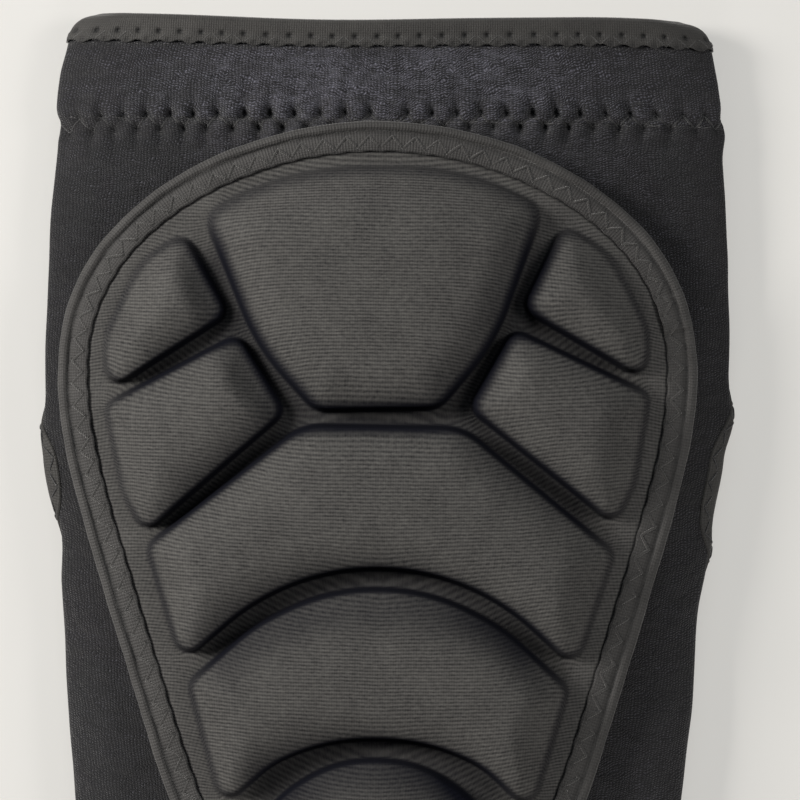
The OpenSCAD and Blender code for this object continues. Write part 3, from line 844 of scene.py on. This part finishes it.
def pad_cover():
    """Ribbed cover, moulded over the blocks and sunk into the grooves between them."""
    rows, cols = COVER_GRID
    xy = egg_grid(4.4, rows, cols)
    flat = xy.reshape(-1, 2)
    rim = inside_distance(egg_path(PAD_TAPE, 180)[0], flat).reshape(rows, cols)
    side, swelling, full, shade = (f.reshape(rows, cols) for f in block_fields(flat, rim.ravel()))
    foam = smoothed(side * (WALL_SHARE * full + smoothed(swelling, 20)), 1)
    # painted shade in the cover's colour: over the blocks' steep walls, on the groove floors, and a soft
    # painted shadow beside the grooves, wide to the left and downwards on the lower blocks
    groove = (1 - side) * ease((rim - 7) / 7)
    beside = groove_shade(groove, xy[..., 1]) * side
    # painted shadow along the pad's rim, where the tape's inner edge steps up over the cover
    seam = 0.5 * bump(rim, 0.3)
    dark = np.minimum(np.maximum.reduce([smoothed(shade, 1), 0.48 * groove, beside, seam]), 1)
    front = crown(xy[..., 0])
    sheet = front + SHEET_Z - 0.1 + 0.2 * wobble(xy[..., 0] / 9, 1.0) * wobble(xy[..., 1] / 11, 2.0)
    sheet = sheet - 0.15 * bump(rim - 0.1, 0.4) - (rim < -0.3) * 0.3
    top = np.dstack([xy, sheet + foam])
    under = np.dstack([xy, front + FOAM_Z + np.maximum(foam - COVER, 0)])
    under[..., 2] = np.minimum(under[..., 2], top[..., 2] - 0.1)
    f = cloth_map(top, 500)
    return shell("pad_cover", top, under, np.dstack([f, np.clip(foam / 8, 0, 1)]), pits_and_painted_shade=dark)


def flat_sheet(name, inset, low, high):
    """A sheet under the cover, between two heights over the front face."""
    xy = egg_grid(inset, 90, 66)
    z = crown(xy[..., 0])
    top = np.dstack([xy, z + high])
    under = np.dstack([xy, z + low])
    return shell(name, top, under, np.dstack([xy, 0 * z]))


FOAM_FILL = 0.6  # height of the foam as a share of its shell
FOAM_INSETS = (1.2, 1.6, 2.3, 3.3)  # how far in from the block's outline its loops lie


def foam_block(name):
    """The foam inside one block of the cover, a little smaller than its shell."""
    outline = OUTLINES[name]
    inward = to_left(unit(ahead_on(outline)))
    rim_path = egg_path(PAD_TAPE, 180)[0]
    loops = []
    for inset in FOAM_INSETS:
        xy = outline + inset * inward
        _, swelling, full, _ = block_fields(xy, inside_distance(rim_path, xy))
        rise = FOAM_FILL * ease((inset - FOAM_INSETS[0]) / WALL)
        z = crown(xy[:, 0]) + FOAM_Z + rise * (WALL_SHARE * full + swelling)
        loops.append(np.column_stack([xy, z]))
    n = len(outline)
    faces = list(grid_faces(len(loops), n, wrap_cols=True)) + end_faces(len(loops), n)
    points = np.concatenate(loops)
    return make(name + "_foam", points, faces, points)


JOINT = (60.0, 52.0)  # where the end of the pad's tape is folded over its start
JOINT_RISE = 0.45  # how much higher it lies there
STITCH_IN = 4.1  # middle of the pad's zigzag, in from the edge of the pad
STITCH_RISE = 1.15  # half its height
STITCH_SINK = 0.22  # how deep its holes are drawn in
TAPE_TOP = 3.93  # height of its thread over the front face


def at_joint(path, s):
    """1 where the end of the tape lies over its start, 0 elsewhere."""
    place = s[np.argmin(np.hypot(path[:, 0] - JOINT[0], path[:, 1] - JOINT[1]))]
    return ease((4.0 - np.abs(s - place)) / 0.5)


def pad_binding():
    """Tape folded round the edge of the pad, with a bead along the fold."""
    count = 1500
    path, inward, total = egg_path(0, count)
    s = np.arange(count) * total / count
    # once round the closed section: distance in from the edge, height over the front face
    top = [(6.0, 3.4), (6.0, 3.7), (5.85, 3.84), (5.4, 3.9), (4.8, 3.92), (4.2, 3.92), (3.6, 3.9),
           (3.1, 3.84), (2.75, 3.72), (2.4, 3.5), (2.15, 3.42), (1.95, 3.5)]
    bead = [(1.0 + 1.0 * math.cos(t), 3.1 + 1.0 * math.sin(t)) for t in np.linspace(0.6, math.pi * 0.95, 9)]
    side = [(-0.02, 2.4), (0.0, 1.5), (0.3, 0.7), (1.0, 0.25), (2.5, 0.1), (5.5, 0.1)]
    inside = [(5.5, 0.75), (1.8, 0.8), (0.9, 1.6), (0.9, 2.7), (1.9, 2.95), (5.4, 3.3)]
    section = np.array(top + bead + side + inside)
    m = len(section)
    e, z = section_grids(section, count)
    ss = np.broadcast_to(s[:, None], (count, m))
    phase = ss / total * round(total / PITCH)
    hole_in = from_whole(phase) * PITCH
    hole_out = from_whole(phase + 0.5) * PITCH
    on_top = np.arange(m)[None, :] < len(top)
    pits_and_painted_shade = bump(hole_in, 0.5) * bump(e - STITCH_IN - STITCH_RISE, 0.5)
    pits_and_painted_shade = pits_and_painted_shade + bump(hole_out, 0.5) * bump(e - STITCH_IN + STITCH_RISE, 0.5)
    z -= on_top * STITCH_SINK * pits_and_painted_shade
    z += on_top * (e > 2.8) * 0.06 * wobble(ss / 2.1, 2.5)
    e += ((e > 5.7) & on_top) * (0.1 * np.cos(TAU * phase) + 0.06 * wobble(ss / 3.3, 4.0))
    on_bead = ~on_top & (np.arange(m)[None, :] < len(top) + len(bead) + 1)
    z += on_bead * 0.1 * wobble(ss / 3.1, 0.5)
    e -= on_bead * 0.12 * wobble(ss / 5.3, 1.5)
    z += at_joint(path, s)[:, None] * JOINT_RISE * (z > 2)
    xy = path[:, None] + inward[:, None] * e[..., None]
    points = np.dstack([xy, crown(xy[..., 0]) + z])
    faces = grid_faces(count, m, wrap_rows=True, wrap_cols=True)
    slanted = np.minimum(ss, total - ss) + on_bead * 0.45 * z
    # painted shade in the stitch holes and in the dip between the bead and the flat of the tape, and painted
    # shade down the tape's inner edge
    dark = on_top * (0.5 * pits_and_painted_shade + 0.4 * bump(e - 2.25, 0.4) + 0.3 * bump(e - 6.05, 0.12))
    return make("pad_binding", points, faces, np.dstack([slanted, e, 0 * e]), dark)


def pad_thread():
    """Zigzag thread through the tape round the pad, worn flat."""
    path, inward, total = egg_path(0, 2600)
    s = np.arange(len(path)) * total / len(path)
    turn = zigzag(s / total * round(total / PITCH) * 2)
    e = STITCH_IN + STITCH_RISE * (2 * turn - 1)
    xy = path + inward * e[:, None]
    z = crown(xy[:, 0]) + TAPE_TOP + JOINT_RISE * at_joint(path, s) - stitch_sag(turn, STITCH_SINK)
    return tube("pad_thread", np.column_stack([xy, z]), 0.28, closed=True, flat=0.35)


# ------ materials
def linear(r, g, b):
    """A colour given in 0..255 screen values."""
    shares = [c / 255 for c in (r, g, b)]
    return tuple(c / 12.92 if c <= 0.04 else ((c + 0.055) / 1.055) ** 2.4 for c in shares) + (1.0,)


class Shader:
    """A small helper that adds nodes to one material."""

    def __init__(self, name, roughness=0.85, sheen=0.0, sheen_roughness=0.5, specular=0.3):
        self.material = bpy.data.materials.new(name)
        self.material.use_nodes = True
        self.tree = self.material.node_tree
        self.bsdf = self.tree.nodes["Principled BSDF"]
        fixed = {"Roughness": roughness, "Sheen Weight": sheen, "Sheen Roughness": sheen_roughness,
                 "Specular IOR Level": specular}
        for key, value in fixed.items():
            self.bsdf.inputs[key].default_value = value

    def link(self, output, key):
        self.tree.links.new(output, self.bsdf.inputs[key])

    def node(self, kind, inputs=(), **settings):
        """A new node, with its settings, and its inputs set to values or linked to other nodes."""
        n = self.tree.nodes.new("ShaderNode" + kind)
        for key, value in settings.items():
            setattr(n, key, value)
        for key, value in dict(inputs).items():
            if isinstance(value, bpy.types.NodeSocket):
                self.tree.links.new(value, n.inputs[key])
            else:
                n.inputs[key].default_value = value
        return n

    def math(self, operation, a, b=0.0, c=0.0):
        return self.node("Math", {0: a, 1: b, 2: c}, operation=operation).outputs[0]

    def times(self, a, b):
        return self.math("MULTIPLY", a, b)

    def times_add(self, a, b, c):
        """a * b + c."""
        return self.math("MULTIPLY_ADD", a, b, c)

    def cloth(self):
        """The place on the flat cloth, in millimetres: as a vector, along, across, and how raised it is."""
        place = self.node("Attribute", attribute_name="cloth").outputs["Vector"]
        return place, *self.node("SeparateXYZ", {0: place}).outputs

    def pits_and_painted_shade(self):
        """How far painted shade darkens the cloth here, 0 to 1: shade painted into stitch holes, grooves,
        over steep walls and beside grooves, and along the feet of steps.
        """
        return self.node("Attribute", attribute_name="pits_and_painted_shade").outputs["Fac"]

    def noise(self, vector, scale, detail=3.0, roughness=0.55, stretch=(1, 1, 1)):
        place = self.node("Mapping", {"Vector": vector, "Scale": stretch}).outputs[0]
        inputs = {"Vector": place, "Scale": scale, "Detail": detail, "Roughness": roughness}
        return self.node("TexNoise", inputs).outputs["Fac"]

    def mix(self, factor, a, b):
        return self.node("Mix", {"Factor": factor, "A": a, "B": b}, data_type="RGBA").outputs["Result"]

    def remap(self, value, low, high, to_low=0.0, to_high=1.0):
        inputs = {"Value": value, "From Min": low, "From Max": high, "To Min": to_low, "To Max": to_high}
        return self.node("MapRange", inputs).outputs["Result"]

    def wave(self, value, pitch):
        """0..1 over each pitch, 1 at the top of a rib."""
        turned = self.times(value, TAU / pitch)
        return self.times_add(self.math("SINE", turned), 0.5, 0.5)

    def finish(self, color, height=None, distance=0.0001):
        """Sets the colour and, where a height is given, a bump of that depth in metres."""
        self.link(color, "Base Color")
        if height is not None:
            bumps = self.node("Bump", {"Strength": 1.0, "Distance": distance, "Height": height})
            self.link(bumps.outputs["Normal"], "Normal")
        return self.material


def plush(name, dark, light, sheen):
    """Neoprene faced with a slightly fluffed knit: columns of small slanting loops."""
    m = Shader(name, roughness=0.75, sheen=sheen, sheen_roughness=0.5, specular=0.2)
    place, along, across, _ = m.cloth()
    patches = m.noise(place, 0.06, 4.0, 0.6, (1.0, 1.6, 1.0))
    streaks = m.noise(place, 0.45, 4.0, 0.7, (0.5, 1.3, 1.0))
    grain = m.noise(place, 1.5, 3.0, 0.75, (0.7, 1.6, 1.0))
    drift = m.noise(place, 0.22, 3.0, 0.6)
    columns = m.wave(m.times_add(drift, 2.0, along), 0.66)
    slant = m.times_add(along, 0.3, across)
    dashes = m.math("POWER", m.wave(m.times_add(drift, 3.5, slant), 0.46), 1.6)
    loops = m.times(m.times_add(columns, 0.7, 0.3), dashes)
    tone = m.times_add(patches, 0.6, m.times(streaks, 0.9))
    tone = m.times_add(grain, 0.8, tone)
    tone = m.times_add(loops, 0.7, tone)
    # painted shade: the knit is darker on the back and round the folded sides, lightening towards the middle
    # of the front
    tone = m.times(tone, m.remap(along, SIDE_A, RING_A - 20, 0.74, 1.0))
    color = m.mix(m.remap(tone, 1.12, 1.9), dark, light)
    # painted shade from the mesh darkens the knit towards near-black: in stitch holes, seam folds and the
    # shadow by the hem tape
    color = m.mix(m.times(m.pits_and_painted_shade(), 0.85), color, linear(8, 8, 10))
    height = m.times_add(loops, 0.8, m.times_add(grain, 0.9, m.times(streaks, 0.6)))
    return m.finish(color, height, 0.0003)


def ribbed_jersey(name, dark, light):
    """Fine ribbed knit, stretched over the blocks."""
    m = Shader(name, roughness=0.55, specular=0.03)
    place, along, across, raised = m.cloth()
    drift = m.noise(place, 0.12, 2.0)
    fine = m.noise(place, 2.6, 2.0, 0.6, (0.5, 1.0, 1.0))
    warp = m.times_add(drift, 0.35, across)
    rib = m.wave(warp, 0.66)
    loops = m.wave(along, 0.5)
    tone = m.times_add(rib, 0.32, m.times_add(fine, 0.7, m.times(loops, 0.1)))
    tone = m.times_add(drift, 0.25, tone)
    color = m.mix(m.remap(tone, 0.25, 1.2), dark, light)
    # painted shade from the mesh darkens the ribbed knit towards a bluish near-black, and makes it rougher
    # there
    color = m.mix(m.pits_and_painted_shade(), color, linear(10, 11, 17))
    m.link(m.remap(m.pits_and_painted_shade(), 0.0, 0.6, 0.62, 1.0), "Roughness")
    height = m.times_add(rib, 1.0, m.times_add(loops, 0.2, m.times(fine, 0.5)))
    height = m.times(height, m.remap(raised, 0.0, 0.4, 0.35, 1.0))
    return m.finish(color, height, 0.00006)


def elastic_tape(name, dark, light, pitch, ribs):
    """Binding tape with fine ribs across it."""
    m = Shader(name, roughness=0.7, sheen=0.15, sheen_roughness=0.4, specular=0.25)
    place, along, across, _ = m.cloth()
    worn = m.noise(place, 0.12, 3.0)
    fine = m.noise(place, 2.4, 3.0, 0.65)
    rib = m.wave(m.times_add(fine, 0.3, along), pitch)
    weave = m.wave(across, 0.5)
    tone = m.times_add(rib, 0.35 * ribs, m.times_add(worn, 0.6, m.times(weave, 0.15)))
    tone = m.times_add(fine, 0.45, tone)
    color = m.mix(m.remap(tone, 0.35 - 0.1 * ribs, 1.05 + 0.15 * ribs), dark, light)
    # painted shade from the mesh darkens the tape towards near-black: in stitch holes, the dip beside the
    # bead and along its edges
    color = m.mix(m.times(m.pits_and_painted_shade(), 0.85), color, linear(8, 8, 9))
    height = m.times_add(rib, ribs, m.times_add(weave, 0.3, m.times(fine, 0.6)))
    return m.finish(color, height, 0.0001)


def twisted_thread(name, dark, light):
    """Sewing thread of two plies."""
    m = Shader(name, roughness=0.7, sheen=0.2, specular=0.3)
    place, along, turn, _ = m.cloth()
    ply = m.wave(m.times_add(turn, 0.12, along), 0.5)
    fuzz = m.noise(place, 3.0, 2.0)
    color = m.mix(m.times_add(ply, 0.6, m.times(fuzz, 0.4)), dark, light)
    return m.finish(color, ply, 0.00006)


def foam(name, dark, light):
    """Foam with fine cells."""
    m = Shader(name, roughness=0.88, specular=0.25)
    cells = m.noise(m.cloth()[0], 3.5, 4.0, 0.7)
    return m.finish(m.mix(cells, dark, light), cells, 0.0001)


def plain_knit(name, dark, light):
    """Plain knitted lining."""
    m = Shader(name, roughness=0.88, sheen=0.2, specular=0.2)
    place, along, across, _ = m.cloth()
    knit = m.times(m.wave(along, 0.6), m.wave(across, 0.5))
    cloud = m.noise(place, 0.2, 3.0)
    tone = m.times_add(knit, 0.6, m.times(cloud, 0.5))
    return m.finish(m.mix(tone, dark, light), knit, 0.0001)


MATERIALS = {
    "sleeve": plush("sleeve_neoprene", linear(5, 5, 8), linear(62, 62, 68), 0.08),
    "cuff": plush("cuff_neoprene", linear(6, 6, 10), linear(82, 82, 91), 0.1),
    "cover": ribbed_jersey("ribbed_cover", linear(19, 19, 21), linear(80, 79, 77)),
    "tape": elastic_tape("binding_tape", linear(13, 12, 12), linear(57, 56, 55), 0.62, 0.6),
    "hem": elastic_tape("hem_tape", linear(15, 14, 14), linear(49, 48, 46), 0.5, 0.5),
    "thread": twisted_thread("sewing_thread", linear(20, 19, 19), linear(44, 43, 41)),
    "hem_thread": twisted_thread("hem_thread", linear(22, 22, 22), linear(44, 43, 42)),
    "dark_thread": twisted_thread("dark_sewing_thread", linear(10, 10, 12), linear(26, 26, 27)),
    "foam": foam("black_foam", linear(20, 20, 21), linear(46, 46, 47)),
    "lining": plain_knit("knit_lining", linear(24, 24, 27), linear(54, 54, 58)),
}


def both(stem):
    """The two nodes of a piece of the pad."""
    return [stem + "_upper", stem + "_lower"]


def halves(stem):
    """The two nodes of a piece of the sleeve."""
    return ["upper_" + stem, "lower_" + stem]


def add(obj, material, nodes, body=None):
    """Finishes a piece: gives it its material, hangs it on one body or, without one, bakes its place into
    its mesh, and hides the CAD nodes that it stands for.
    """
    obj.data.materials.append(MATERIALS[material])
    if body:
        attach(obj, body)
    else:
        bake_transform(obj)
    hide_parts(*nodes)
    return obj


add(sleeve_body(), "sleeve", halves("sleeve_panel"))
for sign, half, body in ((1, "upper", "upper_arm"), (-1, "lower", "forearm")):
    add(cuff(sign, half + "_cuff"), "cuff", [half + "_cuff_band"], body)
    add(hem_tape(sign, half + "_hem_tape"), "hem", [half + "_hem_binding"], body)
    add(hem_thread(sign, half + "_hem_stitch"), "hem_thread", [half + "_hem_thread"], body)
    stitch = seam_thread(sign, half + "_seam_stitch")
    add(stitch, "dark_thread", [half + "_cuff_seam_thread"], body)
    add(back_seam_thread(sign, half + "_back_seam"), "dark_thread", [half + "_back_seam_thread"])
add(crease_tape(), "hem", halves("crease_binding"))
add(crease_thread(), "dark_thread", halves("crease_thread"))
cover = add(pad_cover(), "cover", both("pad_cover"))
add(flat_sheet("pad_backing", 1.6, 0.9, BACK_Z), "foam", both("pad_backing"))
add(flat_sheet("pad_lining", PAD_TAPE + 0.15, 0.1, 0.75), "lining", both("pad_lining"))
add(pad_binding(), "tape", both("pad_binding"))
add(pad_thread(), "thread", both("pad_thread"))
for block in BLOCKS:
    add(foam_block(block), "foam", [block])

# ------ floor, light and camera
FLOOR = 4  # half its width, in metres
floor_mesh = bpy.data.meshes.new("floor")
floor_corners = [(-FLOOR, -FLOOR, 0), (FLOOR, -FLOOR, 0), (FLOOR, FLOOR, 0), (-FLOOR, FLOOR, 0)]
floor_mesh.from_pydata(floor_corners, [], [(0, 1, 2, 3)])
floor = bpy.data.objects.new("floor", floor_mesh)
floor.location.z = -0.2 * MM  # just clear of the cloth that lies on it
bpy.context.scene.collection.objects.link(floor)
table_top = Shader("light_table", roughness=0.7, specular=0.2)
cloud = table_top.noise(table_top.node("TexCoord").outputs["Object"], 14.0, 4.0)
table_top.finish(table_top.mix(cloud, linear(118, 117, 115), linear(122, 121, 119)))
table_top.bsdf.inputs["Emission Color"].default_value = linear(222, 221, 217)
table_top.bsdf.inputs["Emission Strength"].default_value = 0.57
floor.data.materials.append(table_top.material)


def area_light(name, place, size, power, color):
    """A square light that faces the middle of the sleeve. Its place is in metres."""
    light = bpy.data.lights.new(name, "AREA")
    light.size = size
    light.energy = power
    light.color = color
    obj = bpy.data.objects.new(name, light)
    bpy.context.scene.collection.objects.link(obj)
    obj.location = place
    obj.rotation_mode = "QUATERNION"
    obj.rotation_quaternion = (-obj.location).to_track_quat("-Z", "Y")


area_light("left_window", (-0.62, 0.22, 0.4), 0.25, 12.7, (1.0, 0.965, 0.92))
area_light("right_window", (0.7, 0.2, 0.6), 0.3, 5.6, (1.0, 0.97, 0.93))
area_light("near_light", (0.0, -0.8, 0.24), 0.2, 4.4, (1.0, 0.95, 0.9))
area_light("far_light", (0.0, 0.9, 0.6), 0.4, 2.4, (0.93, 0.97, 1.0))
world = bpy.data.worlds.new("studio")
bpy.context.scene.world = world
world.use_nodes = True
sky = world.node_tree.nodes["Background"].inputs
sky["Color"].default_value = (0.86, 0.92, 1.0, 1)
sky["Strength"].default_value = 0.13
bpy.context.scene.view_settings.view_transform = "Standard"

camera_data = bpy.data.cameras.new("camera")
camera = bpy.data.objects.new("camera", camera_data)
bpy.context.scene.collection.objects.link(camera)
bpy.context.scene.camera = camera
DISTANCE = 1.0  # height of the camera, in metres
VIEW_WIDTH = 0.160  # how much it sees across, in metres, at the height VIEW_Z
VIEW_Z = 0.012
VIEW_X = 0.0034  # the middle of what it sees
VIEW_Y = 0.0332
SENSOR = 36
camera_data.sensor_width = SENSOR
camera_data.lens = SENSOR * (DISTANCE - VIEW_Z) / VIEW_WIDTH
camera.location = (VIEW_X, VIEW_Y, DISTANCE)
camera.rotation_euler = (0, 0, math.radians(0.9))
camera_data.clip_start = 0.01
camera_data.clip_end = 20
